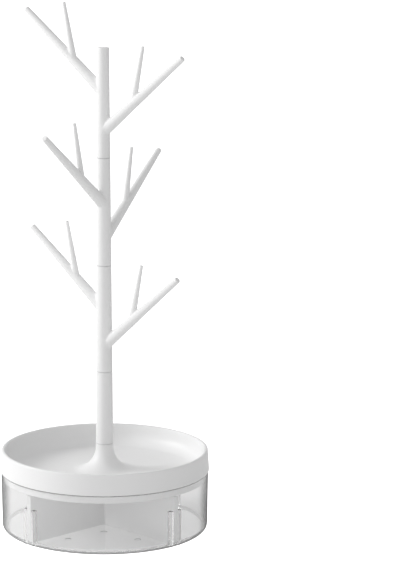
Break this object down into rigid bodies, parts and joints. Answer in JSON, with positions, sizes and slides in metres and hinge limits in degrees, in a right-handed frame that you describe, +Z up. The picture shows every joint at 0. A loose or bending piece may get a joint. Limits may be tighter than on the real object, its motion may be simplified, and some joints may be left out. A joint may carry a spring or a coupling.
{
  "type": "jewelry stand with storage box",
  "caption": "Tree-shaped jewellery stand on a round dished tray lid, over a clear round storage box with a cross divider.",
  "frame": {"origin": "centre of the storage box's underside, on the tree's axis, where the stand rests on the table", "axes": "+Z up along the tree's stem, +X to the right and -Y towards the viewer in the picture"},
  "size_m": [0.1606, 0.1606, 0.4028],
  "materials": {
    "white_plastic": "satin white moulded plastic with a fine even grain",
    "clear_plastic": "polished clear moulded plastic",
    "divider_plastic": "polished clear moulded plastic with a slight haze"
  },
  "bodies": {
    "box": {"storage_box": "clear_plastic", "divider_cross": "divider_plastic"},
    "lid": {"tray_lid": "white_plastic"},
    "extension": {"extension_tube": "white_plastic"},
    "lower_tier": {"lower_branch": "white_plastic"},
    "middle_tier": {"middle_branch": "white_plastic"},
    "top_tier": {"top_branch": "white_plastic"}
  },
  "joints": [
    {"name": "lid_lift", "type": "slide", "parent": "box", "child": "lid", "axis": [0, 0, 1], "range_m": [0, 0.06]},
    {"name": "extension_turn", "type": "hinge", "parent": "lid", "child": "extension", "pos_m": [0, 0, 0.0663], "axis": [0, 0, 1], "continuous": true},
    {"name": "lower_branch_turn", "type": "hinge", "parent": "extension", "child": "lower_tier", "pos_m": [0, 0, 0.1227], "axis": [0, 0, 1], "continuous": true},
    {"name": "middle_branch_turn", "type": "hinge", "parent": "lower_tier", "child": "middle_tier", "pos_m": [0, 0, 0.2049], "axis": [0, 0, 1], "continuous": true},
    {"name": "top_branch_turn", "type": "hinge", "parent": "middle_tier", "child": "top_tier", "pos_m": [0, 0, 0.2871], "axis": [0, 0, 1], "continuous": true}
  ]
}
